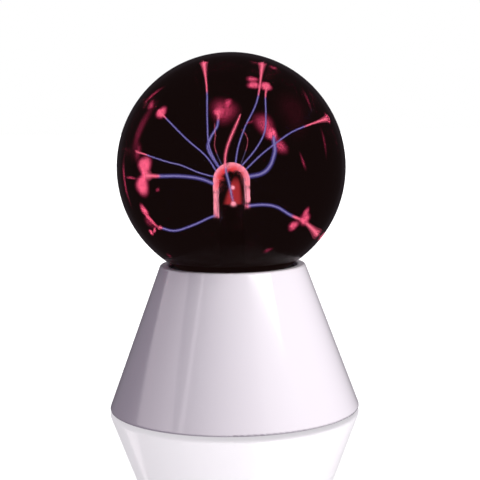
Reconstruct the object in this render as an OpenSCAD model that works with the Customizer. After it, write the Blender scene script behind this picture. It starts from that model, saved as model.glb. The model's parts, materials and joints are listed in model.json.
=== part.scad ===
// Plasma ball on a flared conical base.
// Millimetres, +Z up, origin at the middle of the plane that the feet stand on, front towards -Y.

/* [Globe] */
// Outside diameter of the glass globe
globe_d = 127; // [105:1:155]
// Thickness of the globe's glass
globe_wall = 2; // [1.4:0.1:3]
// Outside diameter of the globe's neck
neck_d = 37; // [30:0.5:45]
// Radius of the fillet where the neck leaves the globe
neck_fillet = 5; // [3:0.5:7]
// How far the lip at the neck's end stands out from the neck
lip_w = 2.5; // [1.5:0.1:4]
// Thickness of the glass flare that closes the neck
flare_t = 2.5; // [1.5:0.1:4]

/* [Electrode] */
// Outside diameter of the glass electrode tube
tube_d = 17; // [14:0.5:22]
// Thickness of the electrode tube's glass
tube_wall = 1.2; // [0.8:0.1:2]
// Height of the electrode's tip over the globe's centre
tip_rise = 0.9; // [-8:0.1:12]
// Thickness of the conductive liner inside the tube
liner_wall = 0.8; // [0.5:0.1:1.5]
// Depth of the plug inside the tube
plug_depth = 8; // [5:0.5:12]
// Length of the steel wool wad at the top of the liner
wad_h = 24; // [12:1:36]

/* [Base] */
// Diameter of the base at its bottom edge, before the edge is rounded
base_d = 141; // [138:1:175]
// Height of the base shell
base_h = 81; // [80:1:110]
// Outside diameter of the base at its rim
rim_d = 81; // [78:0.5:98]
// Width of the rim's flat top
rim_w = 4.6; // [4:0.1:7]
// Gap between the globe and the rim's inner edge, measured level with the rim
rim_gap = 2.6; // [1.5:0.1:5]
// Wall thickness of the base shell
shell_wall = 2.2; // [1.6:0.1:3]
// Rounding of the rim's edges
rim_round = 1.1; // [0.4:0.1:1.5]
// Rounding of the bottom edge
edge_round = 1; // [0.4:0.1:1.4]

/* [Seat and clamp] */
// Radial width of the foam seat ring
seat_w = 9.9; // [7:0.1:13]
// Least thickness of the seat ring
seat_t = 2; // [1:0.1:4]
// Width of the band of the seat ring that touches the globe
seat_contact = 3.5; // [2:0.1:6]
// Length of the posts that carry the neck clamp
post_len = 12; // [8:0.5:16]
// Diameter of those posts
post_d = 6.6; // [6:0.1:8]
// Thickness of the neck clamp
clamp_t = 4; // [3:0.1:6]
// Thickness of the rubber washer between clamp and lip
washer_t = 1; // [0.5:0.1:2]

/* [Base plate and feet] */
// Thickness of the base plate
plate_t = 2.2; // [1.6:0.1:3]
// How far the feet stand out under the base
foot_h = 1; // [0.8:0.1:3]
// Diameter of a foot
foot_d = 12; // [8:0.5:16]
// Diameter of the circle that the feet are on
foot_circle = 104; // [80:1:108]
// Diameter of the circle that the base plate's screws are on
screw_circle = 115; // [108:1:116]
// Width of the vent slots in the base plate
vent_w = 2; // [1.5:0.1:3]

/* [Circuit board] */
// Width of the board
board_w = 84; // [80:1:88]
// Depth of the board
board_l = 58; // [56:1:62]
// Thickness of the board
board_t = 1.6; // [1:0.1:2.4]
// Height of the pillars under the board
pillar_h = 8.8; // [6:0.1:12]
// Width of the transformer's core
core_w = 34; // [32:0.5:36]
// Height of the transformer's core
core_h = 32; // [28:0.5:34]
// Depth of the transformer's core
core_t = 11; // [9:0.5:14]

/* [Rear pocket] */
// Width of the pocket for the switch and the power inlet
pocket_w = 46; // [44:0.5:50]
// Height of the pocket along the slope
pocket_l = 15; // [14:0.5:20]
// Depth of the pocket at its middle
pocket_depth = 6.4; // [5.5:0.1:8]
// Height of the pocket's middle over the floor
pocket_z = 20; // [17:0.5:30]
// Travel of the switch between two of its three positions
switch_step = 2.5; // [1.5:0.1:3]
// Bore of the power inlet
inlet_bore_d = 5.9; // [5.6:0.1:6.6]
// Diameter of the power inlet's centre pin
inlet_pin_d = 2; // [1.6:0.1:2.5]
// Diameter of the power inlet's threaded barrel
inlet_barrel_d = 8; // [7.6:0.1:9]

/* [Fits] */
// Clearance between pieces that sit in each other
fit = 0.2; // [0.1:0.05:0.3]
// Clearance where faces are to touch
touch = 0.02; // [0.01:0.01:0.05]
// Clearance round a screw's thread
thread_fit = 0.05; // [0.03:0.01:0.1]
// Clearance round the moving switch knob
slide_fit = 0.3; // [0.2:0.05:0.4]

/* [Hidden] */
$fn = 96;
eps = 0.5;

// Levels and radii of the base
globe_r = globe_d / 2;
neck_r = neck_d / 2;
tube_r = tube_d / 2;
base_r = base_d / 2;
rim_r = rim_d / 2;
rim_in_r = rim_r - rim_w;
rim_z = foot_h + base_h;
slope = (base_r - rim_r) / base_h;
slope_angle = atan(slope);
wall_across = shell_wall / cos(slope_angle);
function outer_r(z) = base_r - (z - foot_h) * slope;
function inner_r(z) = outer_r(z) - wall_across;

// The globe rests so that the gap at the rim is rim_gap
globe_z = rim_z + sqrt(pow(globe_r, 2) - pow(rim_in_r - rim_gap, 2));
function globe_bottom(r) = globe_z - sqrt(pow(globe_r, 2) - pow(r, 2));

// The cup under the rim, with its ledge, seat ring and clamp
ledge_in_r = max(neck_r + neck_fillet + 1, rim_in_r - seat_w - 1.4);
seat_in_r = ledge_in_r + 1;
seat_out_r = rim_in_r - 2 * fit;
seat_top_z = globe_bottom(seat_in_r + seat_contact);
ledge_z = globe_bottom(seat_in_r) - seat_t;
lip_r = neck_r + lip_w;
post_r = post_d / 2;
post_at = max(lip_r, ledge_in_r) + post_r + 0.5;
post_z = ledge_z - shell_wall - post_len;
clamp_z = post_z - clamp_t;
clamp_in_r = neck_r + 0.5;
clamp_out_r = lip_r + 3;
clamp_gap = 1;
neck_end_z = clamp_z - washer_t;
flare_z = neck_end_z - flare_t;

// The electrode inside its tube
tube_in_r = tube_r - tube_wall;
tip_z = globe_z + tip_rise;
dome_z = tip_z - tube_r;
liner_r = tube_in_r - fit;
liner_in_r = liner_r - liner_wall;
plug_top_z = flare_z + plug_depth;
plug_flange_t = 3;
exhaust_r = 2.2;
exhaust_bore_r = 1;
exhaust_at = (tube_r + neck_r - globe_wall) / 2;
exhaust_len = 9;

// The base plate, its screws and its feet
plate_z = foot_h;
plate_r = inner_r(foot_h + plate_t) - fit;
plate_top_z = plate_z + plate_t;
foot_recess = 0.6;
foot_at = foot_circle / 2;
plate_screw_at = screw_circle / 2;
plate_boss_r = 3.6;
plate_boss_top_z = foot_h + 23;
plate_cup_h = 2;
plate_cup_r = 4.8;
plate_cup_top_z = plate_top_z + plate_cup_h;

// The board and what stands on it
board_y = -4;
board_z = plate_top_z + pillar_h;
board_top_z = board_z + board_t;
board_hole_x = board_w / 2 - 5;
board_hole_y = board_l / 2 - 5;
pillar_r = 3.2;
core_x = -20;
core_y = -3;
core_z = board_top_z + 3.4;
yoke_t = 5.2;
leg_t = 4.6;
core_post_r = 4.8;
core_gap = touch;
flange_r = core_w / 2 - leg_t - 0.6;
flange_t = 1.2;
spool_r = core_post_r + 1.4;
winding_r = flange_r - 0.8;
bobbin_z = core_z + yoke_t + fit;
bobbin_h = core_h - 2 * yoke_t - 2 * fit;
primary_h = 6;
secondary_slots = 3;
slot_pitch = (bobbin_h - flange_t - primary_h) / secondary_slots;
sink_x = 20;
sink_y = -20;

// Screw sizes: shank radius, head radius, head height
m3 = [1.45, 2.8, 1.9];
m26 = [1.25, 2.4, 1.6];
m2 = [0.95, 1.9, 1.2];

// The pocket: positions along its width, measured in the pocket's own frame
pocket_round = 2.5;
panel_face = -pocket_depth;
panel_back = panel_face - shell_wall;
switch_x = -11;
inlet_x = 14;
microphone_x = 4.6;
microphone_r = 3;
microphone_h = 5;
microphone_hole_r = 0.8;
knob_w = 4;
knob_l = 3.4;
knob_out = 4.2;
frame_w = 14;
frame_l = 7;
frame_h = 5.6;
frame_t = 0.5;
ear_span = 19;
wafer_t = 1.4;
rotor_h = 2.2;
inlet_body_r = 5.5;
inlet_body_h = 9;
inlet_out = 3.6;
inlet_depth = 9.5;
inlet_nut_t = 2;
inlet_nut_af = 11;
terminal_len = 3.5;

// Free-standing lead routes, chosen by hand. The inlet, switch and microphone leads start at the pocket.
lead_r = 0.8;
hv_lead_r = 1.5;
plug_bottom_z = flare_z - plug_flange_t;
hv_start = [core_x + 9.6, core_y + 9.6, bobbin_z + bobbin_h - 3];
hv_route = [
    hv_start, hv_start + [0.5, 1, 3], [-7, 8, plug_bottom_z - 7], [-2, 5, plug_bottom_z - 4.5],
    [0, 1, plug_bottom_z - 1.5], [0, 0, plug_bottom_z + 2], [0, 0, plug_top_z + 10], [0, 0, tip_z - wad_h - 3]
];

// ---- General shapes ----

module ring(r_out, r_in, h) {
    difference() {
        cylinder(r = r_out, h = h);
        translate([0, 0, -eps]) cylinder(r = r_in, h = h + 2 * eps);
    }
}

// Copies at equal steps round the axis
module around(count, radius, start = 0) {
    for (i = [0:count - 1])
        rotate([0, 0, start + i * 360 / count]) translate([radius, 0, 0]) children();
}

// Turns the part of a flat outline that is right of the axis
module turned() {
    rotate_extrude() intersection() {
        children();
        translate([0, -500]) square([500, 1000]);
    }
}

// Pan-head screw: its head's underside is at the origin, and its shank points down
module screw(size, length) {
    slot_w = size[1] * 0.36;
    difference() {
        union() {
            translate([0, 0, -length]) cylinder(r = size[0], h = length + eps);
            intersection() {
                cylinder(r = size[1], h = size[2]);
                translate([0, 0, size[2] - size[1] * 1.9]) sphere(r = size[1] * 1.9);
            }
        }
        for (turn = [0, 90])
            rotate([0, 0, turn]) translate([-size[1] * 0.62, -slot_w / 2, size[2] * 0.5])
                cube([size[1] * 1.24, slot_w, size[2]]);
    }
}

// Box with its four upright edges rounded, centred on x and y
module rounded_box(w, l, h, r) {
    for (shift = [0, 1])
        translate([shift ? -w / 2 : r - w / 2, shift ? r - l / 2 : -l / 2, 0])
            cube([shift ? w : w - 2 * r, shift ? l - 2 * r : l, h]);
    for (x = [r - w / 2, w / 2 - r], y = [r - l / 2, l / 2 - r])
        translate([x, y, 0]) cylinder(r = r, h = h);
}

function unit(v) = v / norm(v);

// A smooth run of points through a route, by a Catmull-Rom spline
function spline_point(a, b, c, d, t) =
    0.5 * (2 * b + (c - a) * t + (2 * a - 5 * b + 4 * c - d) * t * t + (3 * b - a - 3 * c + d) * t * t * t);
function smooth_route(p, steps) = [
    for (i = [0:len(p) - 2], s = [0:steps - 1])
        spline_point(p[max(i - 1, 0)], p[i], p[i + 1], p[min(i + 2, len(p) - 1)], s / steps),
    p[len(p) - 1]
];

// Sideways directions along a route, each carried on from the one before so that the tube doesn't twist
function heading(p, i) = unit(p[min(i + 1, len(p) - 1)] - p[max(i - 1, 0)]);
function square_to(v, axis) = unit(v - axis * (v * axis));
function sideways(p) = [
    for (i = 0, side = square_to([0.31, 0.87, 0.38], heading(p, 0)); i < len(p);
        i = i + 1, side = i < len(p) ? square_to(side, heading(p, i)) : side) side
];

// A round lead along a route
module lead(route, r, steps = 5, sides = 8) {
    p = smooth_route(route, steps);
    side = sideways(p);
    rings = len(p);
    points = [
        for (i = [0:rings - 1], k = [0:sides - 1])
            let (up = cross(heading(p, i), side[i]), a = 360 * k / sides)
                p[i] + r * (cos(a) * side[i] + sin(a) * up)
    ];
    walls = [
        for (i = [0:rings - 2], k = [0:sides - 1])
            let (n = (k + 1) % sides)
                [i * sides + k, (i + 1) * sides + k, (i + 1) * sides + n, i * sides + n]
    ];
    start = [for (k = [0:sides - 1]) k];
    end = [for (k = [sides - 1:-1:0]) (rings - 1) * sides + k];
    polyhedron(points, concat(walls, [start, end]));
}

// ---- Globe and electrode ----

// Filled outline of a globe of radius r with its neck, round the globe's centre
module globe_outline(r, neck, fillet, neck_z) {
    reach = r + fillet;
    side = neck + fillet;
    drop = sqrt(reach * reach - side * side);
    meet = [side, -drop] * r / reach;
    circle(r = r);
    translate([0, neck_z]) square([neck, -drop - neck_z + 0.01]);
    difference() {
        polygon([[0, -drop], [side, -drop], meet, [0, meet.y + r / 2]]);
        translate([side, -drop]) circle(r = fillet);
    }
}

module globe_glass() {
    color("#1b1418", 0.35) translate([0, 0, globe_z]) turned() difference() {
        globe_outline(globe_r, neck_r, neck_fillet, neck_end_z + touch - globe_z);
        globe_outline(globe_r - globe_wall, neck_r - globe_wall, neck_fillet + globe_wall,
            neck_end_z - globe_z - eps);
    }
}

// Filled outline of a tube with a domed top
module dome_outline(r, dome, bottom) {
    translate([0, dome]) circle(r = r);
    translate([0, bottom]) square([r, dome - bottom]);
}

module electrode_stem() {
    flare_fillet = 3;
    color("#d8dce2", 0.4) difference() {
        turned() difference() {
            union() {
                dome_outline(tube_r, dome_z, flare_z);
                translate([0, flare_z]) square([lip_r - flare_t / 2, flare_t]);
                translate([lip_r - flare_t / 2, flare_z + flare_t / 2]) circle(r = flare_t / 2);
                difference() {
                    translate([0, neck_end_z]) square([tube_r + flare_fillet, flare_fillet]);
                    translate([tube_r + flare_fillet, neck_end_z + flare_fillet]) circle(r = flare_fillet);
                }
            }
            dome_outline(tube_in_r, dome_z, flare_z - eps);
        }
        translate([exhaust_at, 0, flare_z - eps])
            cylinder(r = exhaust_bore_r, h = flare_t + flare_fillet + eps, $fn = 32);
    }
}

// Sealed stump of the tube that the globe was pumped and filled through
module exhaust_tip() {
    straight = exhaust_len * 0.6;
    color("#c4ccd4", 0.5) translate([exhaust_at, 0, flare_z - exhaust_len]) difference() {
        union() {
            translate([0, 0, exhaust_len - straight]) cylinder(r = exhaust_r, h = straight, $fn = 32);
            cylinder(r1 = 0.7, r2 = exhaust_r, h = exhaust_len - straight, $fn = 32);
        }
        translate([0, 0, exhaust_len - straight]) cylinder(r = exhaust_bore_r, h = straight + eps, $fn = 32);
    }
}

module electrode_liner() {
    color("#101012") turned() difference() {
        dome_outline(liner_r, dome_z, plug_top_z + touch);
        dome_outline(liner_in_r, dome_z, plug_top_z - eps);
    }
}

module steel_wool_wad() {
    wad_r = liner_in_r - fit;
    color("#8b8d90") turned() dome_outline(wad_r, dome_z, dome_z + wad_r - wad_h);
}

module electrode_plug() {
    color("#e6e2da") difference() {
        union() {
            translate([0, 0, flare_z - touch]) cylinder(r = tube_in_r - fit, h = plug_depth + touch);
            translate([0, 0, flare_z - plug_flange_t - touch])
                cylinder(r = tube_r + 0.5, h = plug_flange_t);
        }
        translate([0, 0, flare_z - plug_flange_t - eps])
            cylinder(r = hv_lead_r + 0.3, h = plug_depth + plug_flange_t + 2 * eps, $fn = 32);
    }
}

// ---- Seat and clamp ----

module globe_seat_ring() {
    color("#161616") turned() difference() {
        translate([seat_in_r, ledge_z + touch]) square([seat_out_r - seat_in_r, seat_top_z - ledge_z]);
        translate([0, globe_z]) circle(r = globe_r + touch);
    }
}

// Ring with an ear at each post, before it is sawn into two halves
module clamp_blank() {
    difference() {
        union() {
            cylinder(r = clamp_out_r, h = clamp_t);
            around(4, post_at, 45) cylinder(r = post_r + 0.8, h = clamp_t);
            around(4, 0, 45) translate([clamp_in_r + 1, -post_r - 0.8, 0])
                cube([post_at - clamp_in_r - 1, 2 * post_r + 1.6, clamp_t]);
        }
        translate([0, 0, -eps]) cylinder(r = clamp_in_r, h = clamp_t + 2 * eps);
        around(4, post_at, 45) translate([0, 0, -eps])
            cylinder(r = m3[0] + fit, h = clamp_t + 2 * eps, $fn = 32);
    }
}

module clamp_half(side) {
    color("#1d1d1f") translate([0, 0, clamp_z]) intersection() {
        clamp_blank();
        translate([side > 0 ? clamp_gap / 2 : -100 - clamp_gap / 2, -50, -eps])
            cube([100, 100, clamp_t + 2 * eps]);
    }
}
module neck_clamp_left() { clamp_half(-1); }
module neck_clamp_right() { clamp_half(1); }

module neck_washer() {
    color("#202022") translate([0, 0, neck_end_z + touch])
        ring(lip_r, neck_r + fit, washer_t - 2 * touch);
}

module clamp_screws() {
    color("#c9ccd1") around(4, post_at, 45) translate([0, 0, clamp_z - touch])
        rotate([180, 0, 0]) screw(m3, clamp_t + post_len * 0.7);
}

// ---- Base ----

// Puts its children on the rear slope: x to the viewer's right from behind, y up the slope, z outwards
module on_slope() {
    translate([0, outer_r(pocket_z), pocket_z]) rotate([slope_angle - 90, 0, 0]) rotate([0, 0, 180]) children();
}

// Centres of the roundings at the cone's top and bottom edges, each touching the slope
function top_corner() = [rim_r - rim_round * (1 - sin(slope_angle)) / cos(slope_angle), rim_z - rim_round];
function bottom_corner() = [base_r - edge_round * (1 + sin(slope_angle)) / cos(slope_angle), foot_h + edge_round];
across_slope = [cos(slope_angle), sin(slope_angle)];

// Outline of the turned wall: cone, rim, cup, ledge and the groove behind the cup
module shell_outline() {
    cup_r = rim_in_r + shell_wall;
    groove_z = rim_z - shell_wall - 0.8;
    groove_end_z = min(groove_z, ledge_z - 2 * shell_wall);
    polygon([
        [bottom_corner().x, foot_h], bottom_corner() + edge_round * across_slope,
        top_corner() + rim_round * across_slope, [top_corner().x, rim_z],
        [rim_in_r + rim_round, rim_z], [rim_in_r, rim_z - rim_round],
        [rim_in_r, ledge_z], [ledge_in_r, ledge_z], [ledge_in_r, ledge_z - shell_wall],
        [cup_r, ledge_z - shell_wall], [cup_r, groove_z], [max(inner_r(groove_z), cup_r + 0.4), groove_z],
        [inner_r(groove_end_z), groove_end_z], [inner_r(foot_h), foot_h]
    ]);
    translate(bottom_corner()) circle(r = edge_round);
    translate(top_corner()) circle(r = rim_round);
    translate([rim_in_r + rim_round, rim_z - rim_round]) circle(r = rim_round);
}

module base_shell() {
    boss_bottom_z = plate_cup_top_z + touch;
    pilot_depth = 14;
    color("#e9e4ee") difference() {
        union() {
            rotate_extrude() shell_outline();
            around(4, post_at, 45) translate([0, 0, post_z])
                cylinder(r = post_r, h = ledge_z - post_z - shell_wall / 2, $fn = 48);
            around(4, plate_screw_at, 45) translate([0, 0, boss_bottom_z])
                cylinder(r = plate_boss_r, h = plate_boss_top_z - boss_bottom_z, $fn = 48);
            intersection() {
                around(4, plate_screw_at, 45) translate([0, -0.9, boss_bottom_z])
                    cube([base_r, 1.8, plate_boss_top_z - boss_bottom_z]);
                translate([0, 0, foot_h]) cylinder(r1 = base_r - 1, r2 = rim_r - 1, h = base_h);
            }
            intersection() {
                on_slope() translate([0, 0, panel_back])
                    rounded_box(pocket_w + 2 * shell_wall, pocket_l + 2 * shell_wall, -panel_back,
                        pocket_round + shell_wall);
                translate([0, 0, foot_h]) cylinder(r1 = base_r - 0.6, r2 = rim_r - 0.6, h = base_h);
            }
        }
        around(4, post_at, 45) translate([0, 0, post_z - eps])
            cylinder(r = m3[0] + thread_fit, h = post_len + eps, $fn = 32);
        around(4, plate_screw_at, 45) translate([0, 0, boss_bottom_z - eps])
            cylinder(r = m3[0] + thread_fit, h = pilot_depth + eps, $fn = 32);
        on_slope() {
            translate([0, 0, panel_face]) rounded_box(pocket_w, pocket_l, pocket_depth * 3, pocket_round);
            translate([switch_x, 0, panel_back - eps]) {
                translate([-knob_w / 2 - switch_step - slide_fit, -knob_l / 2 - slide_fit, 0])
                    cube([knob_w + 2 * switch_step + 2 * slide_fit, knob_l + 2 * slide_fit, shell_wall + 2 * eps]);
                for (side = [-1, 1]) translate([side * ear_span / 2, 0, 0])
                    cylinder(r = m2[0] + fit, h = shell_wall + 2 * eps, $fn = 32);
            }
            translate([inlet_x, 0, panel_back - eps])
                cylinder(r = inlet_barrel_d / 2 + fit, h = shell_wall + 2 * eps, $fn = 48);
            translate([microphone_x, 0, panel_back - eps])
                cylinder(r = microphone_hole_r, h = shell_wall + 2 * eps, $fn = 24);
        }
    }
}

module base_plate() {
    vent_l = 12;
    color("#dcd8e0") difference() {
        union() {
            translate([0, 0, plate_z]) cylinder(r = plate_r, h = plate_t);
            around(4, plate_screw_at, 45) translate([0, 0, plate_z])
                cylinder(r = plate_cup_r, h = plate_t + plate_cup_h, $fn = 48);
            for (x = [-1, 1], y = [-1, 1]) translate([x * board_hole_x, board_y + y * board_hole_y, plate_z])
                cylinder(r = pillar_r, h = plate_t + pillar_h, $fn = 48);
        }
        around(4, plate_screw_at, 45) translate([0, 0, plate_z - eps]) {
            cylinder(r = m3[0] + fit, h = plate_t + plate_cup_h + 2 * eps, $fn = 32);
            cylinder(r = m3[1] + 0.5, h = m3[2] + 0.4 + eps, $fn = 48);
        }
        around(4, foot_at, 0) translate([0, 0, plate_z - eps])
            cylinder(r = foot_d / 2 + fit, h = foot_recess + eps, $fn = 64);
        around(12, 24, 15) translate([-vent_l / 2, -vent_w / 2, plate_z - eps])
            cube([vent_l, vent_w, plate_t + 2 * eps]);
        for (x = [-1, 1], y = [-1, 1]) translate([x * board_hole_x, board_y + y * board_hole_y, plate_top_z])
            cylinder(r = m26[0] + thread_fit, h = pillar_h + eps, $fn = 32);
    }
}

module base_plate_screws() {
    color("#b9bcc2") around(4, plate_screw_at, 45) translate([0, 0, plate_z + m3[2] + 0.4 - touch])
        rotate([180, 0, 0]) screw(m3, 12);
}

module rubber_feet() {
    color("#2b2b2d") around(4, foot_at, 0) {
        translate([0, 0, 0.4]) cylinder(r = foot_d / 2, h = foot_h + foot_recess - 0.4 - touch, $fn = 64);
        cylinder(r1 = foot_d / 2 - 0.5, r2 = foot_d / 2, h = 0.4, $fn = 64);
    }
}

// ---- Circuit board ----

// Puts its children on the board's top, at a place measured from the board's middle
module on_board(x, y) {
    translate([x, board_y + y, board_top_z + touch]) children();
}

module circuit_board() {
    color("#2f6b3f") difference() {
        translate([-board_w / 2, board_y - board_l / 2, board_z + touch])
            cube([board_w, board_l, board_t - touch]);
        for (x = [-1, 1], y = [-1, 1])
            translate([x * board_hole_x, board_y + y * board_hole_y, board_z - eps])
                cylinder(r = m26[0] + fit, h = board_t + 2 * eps, $fn = 32);
    }
}

module board_screws() {
    color("#c2c4c8") for (x = [-1, 1], y = [-1, 1])
        on_board(x * board_hole_x, y * board_hole_y) screw(m26, board_t + pillar_h * 0.75);
}

// One E-shaped half of the core, standing on its yoke, with its round middle leg
module core_half() {
    half = core_h / 2 - core_gap;
    translate([-core_w / 2, -core_t / 2, 0]) cube([core_w, core_t, yoke_t]);
    for (side = [0, 1]) translate([side ? core_w / 2 - leg_t : -core_w / 2, -core_t / 2, 0])
        cube([leg_t, core_t, half]);
    cylinder(r = core_post_r, h = half);
}

module core_lower_half() {
    color("#3a3a3e") translate([core_x, core_y, core_z]) core_half();
}

module core_upper_half() {
    color("#3a3a3e") translate([core_x, core_y, core_z + core_h]) rotate([180, 0, 0]) core_half();
}

// Steel strap round the two halves
module core_clip() {
    strap_t = 0.6;
    strap_l = 6;
    color("#a9adb3") translate([core_x, core_y, core_z]) difference() {
        translate([-core_w / 2 - strap_t - touch, -strap_l / 2, -strap_t - touch])
            cube([core_w + 2 * strap_t + 2 * touch, strap_l, core_h + 2 * strap_t + 2 * touch]);
        translate([-core_w / 2 - touch, -strap_l / 2 - eps, -touch])
            cube([core_w + 2 * touch, strap_l + 2 * eps, core_h + 2 * touch]);
    }
}

module transformer_bobbin() {
    rail_l = 3;
    rail_y = core_t / 2 + fit;
    color("#26262a") translate([core_x, core_y, bobbin_z]) {
        difference() {
            union() {
                cylinder(r = spool_r, h = bobbin_h);
                cylinder(r = flange_r, h = flange_t);
                for (i = [0:secondary_slots])
                    translate([0, 0, flange_t + primary_h + i * slot_pitch - (i == 0 ? 0 : flange_t)])
                        cylinder(r = flange_r, h = flange_t);
            }
            translate([0, 0, -eps]) cylinder(r = core_post_r + fit, h = bobbin_h + 2 * eps);
        }
        for (side = [-1, 1]) translate([-flange_r * 0.7, side > 0 ? rail_y : -rail_y - rail_l,
                board_top_z + touch - bobbin_z])
            cube([flange_r * 1.4, rail_l, bobbin_z - board_top_z - touch + flange_t]);
    }
}

module primary_winding() {
    color("#b06a35") translate([core_x, core_y, bobbin_z + flange_t + touch])
        ring(winding_r, spool_r + touch, primary_h - 2 * touch);
}

module secondary_winding() {
    color("#d8b13c") for (i = [0:secondary_slots - 1])
        translate([core_x, core_y, bobbin_z + 2 * flange_t + primary_h + i * slot_pitch - (i == 0 ? 0 : flange_t) + touch])
            ring(winding_r, spool_r + touch, slot_pitch - flange_t - (i == 0 ? flange_t : 0) - 2 * touch);
}

module transformer_pins() {
    pin_y = core_t / 2 + fit + 1.5;
    color("#cfd2d6") for (side = [-1, 1], i = [-1.5:1:1.5])
        translate([core_x + i * 4, core_y + side * pin_y, board_z - 1.8])
            cylinder(r = 0.4, h = 1.8 - touch, $fn = 16);
}

module heat_sink() {
    sink_w = 26;
    sink_h = 25;
    plate = 2;
    fins = 6;
    fin_l = 8;
    color("#8f949b") on_board(sink_x, sink_y) difference() {
        union() {
            translate([-sink_w / 2, 0, 0]) cube([sink_w, plate, sink_h]);
            for (i = [0:fins - 1]) translate([-sink_w / 2 + i * (sink_w - 1.2) / (fins - 1), -fin_l, 0])
                cube([1.2, fin_l + 0.1, sink_h]);
        }
        translate([0, -0.5, 17.5]) rotate([-90, 0, 0])
            cylinder(r = m26[0] + thread_fit, h = plate + 1, $fn = 32);
    }
}

module power_transistor() {
    tab_y = 2 + touch;
    color("#2a2a2c") on_board(sink_x, sink_y + tab_y) difference() {
        union() {
            translate([-5, 0, 5]) cube([10, 1.3, 15.6]);
            translate([-5, 1.2, 5]) cube([10, 3.2, 9]);
            for (i = [-1:1]) translate([i * 2.54 - 0.4, 2.2, 0]) cube([0.8, 0.5, 5.2]);
        }
        translate([0, -0.5, 17.5]) rotate([-90, 0, 0]) cylinder(r = m26[0] + fit, h = 2.5, $fn = 32);
    }
}

module transistor_screw() {
    color("#c2c4c8") on_board(sink_x, sink_y + 2 + touch + 1.3 + touch) translate([0, 0, 17.5])
        rotate([-90, 0, 0]) screw(m26, 4.5);
}

// Upright can capacitor with the groove near its foot
module can(r, h) {
    difference() {
        translate([0, 0, 0.4]) cylinder(r = r, h = h - 0.4, $fn = 64);
        translate([0, 0, 1.8]) ring(r + 1, r - 0.35, 0.9);
        translate([-r * 0.7, -0.2, h - 0.3]) cube([r * 1.4, 0.4, 1]);
        translate([-0.2, -r * 0.7, h - 0.3]) cube([0.4, r * 1.4, 1]);
    }
    for (side = [-1, 1]) translate([side * r * 0.4, 0, 0]) cylinder(r = 0.35, h = 0.5, $fn = 16);
}

module smoothing_capacitor() {
    color("#23324f") on_board(13, -1) can(6.5, 20);
}

module small_capacitors() {
    color("#2a2d33") for (at = [[9, 12], [20, 13], [1, 18]]) on_board(at.x, at.y) can(3.15, 11);
}

module film_capacitor() {
    color("#b0382c") on_board(31, -3) {
        translate([-6.5, -3, 0.3]) rounded_upright(13, 6, 11, 0.8);
        for (side = [-1, 1]) translate([side * 5, 0, 0]) cylinder(r = 0.35, h = 0.5, $fn = 16);
    }
}

// Box from the origin with rounded upright edges
module rounded_upright(w, l, h, r) {
    translate([w / 2, l / 2, 0]) rounded_box(w, l, h, r);
}

module ceramic_capacitors() {
    color("#c98b3a") for (at = [[35, 8], [-37, 11], [4, 8]]) on_board(at.x, at.y) {
        translate([0, 0, 4.6]) rotate([90, 0, 0]) intersection() {
            sphere(r = 3.4);
            translate([0, 0, -1.3]) cylinder(r = 3.4, h = 2.6);
        }
        for (side = [-1, 1]) translate([side * 1.3, 0, 0]) cylinder(r = 0.3, h = 2.4, $fn = 16);
    }
}

// Axial part lying along x, with its leads bent down to the board
module axial(r, l, span) {
    rise = r + 0.5;
    translate([-l / 2, 0, rise]) rotate([0, 90, 0]) cylinder(r = r, h = l, $fn = 32);
    translate([-span / 2, 0, rise]) rotate([0, 90, 0]) cylinder(r = 0.3, h = span, $fn = 16);
    for (side = [-1, 1]) translate([side * span / 2, 0, 0]) {
        cylinder(r = 0.3, h = rise, $fn = 16);
        translate([0, 0, rise]) sphere(r = 0.3, $fn = 16);
    }
}

module resistors() {
    color("#cdb48c") for (x = [-29, -15], y = [16, 20, 24]) on_board(x, y) axial(1.2, 6.4, 10);
}

module rectifier_diodes() {
    color("#1c1c1e") for (y = [-22, -18]) on_board(-3, y) axial(1.35, 5.2, 9.5);
}

module timer_chip() {
    body_w = 9.5;
    body_l = 6.4;
    color("#1a1a1c") on_board(30, 17) {
        difference() {
            translate([-body_w / 2, -body_l / 2, 1]) cube([body_w, body_l, 3.3]);
            translate([-body_w / 2, 0, 3.7]) cylinder(r = 0.9, h = 1, $fn = 24);
        }
        for (side = [-1, 1], i = [-1.5:1:1.5]) {
            translate([i * 2.54 - 0.3, side > 0 ? body_l / 2 - 0.1 : -body_l / 2 - 0.9, 2]) cube([0.6, 1, 0.4]);
            translate([i * 2.54 - 0.3, side * (body_l / 2 + 0.7) - 0.2, 0]) cube([0.6, 0.4, 2.4]);
        }
    }
}

// Row of sockets that the leads from the pocket plug into
header_x = 10;
header_y = 24;
header_pitch = 2.5;
header_ways = 7;
header_h = 6;
function header_socket(i) = [
    header_x + (i - (header_ways - 1) / 2) * header_pitch, board_y + header_y, board_top_z + header_h
];

module lead_header() {
    color("#e8e3d2") on_board(header_x, header_y) difference() {
        translate([-header_ways * header_pitch / 2, -2.2, 0]) cube([header_ways * header_pitch, 4.4, header_h]);
        for (i = [0:header_ways - 1]) translate([(i - (header_ways - 1) / 2) * header_pitch, 0, header_h - 3])
            cylinder(r = lead_r + fit, h = 4, $fn = 24);
    }
}

// ---- Switch, microphone and power inlet ----

module microphone_capsule() {
    color("#b8bbc0") on_slope() translate([microphone_x, 0, panel_back - touch - microphone_h]) difference() {
        cylinder(r = microphone_r, h = microphone_h, $fn = 48);
        translate([0, 0, microphone_h - 0.6]) cylinder(r = 1, h = 1, $fn = 24);
    }
}

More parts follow.
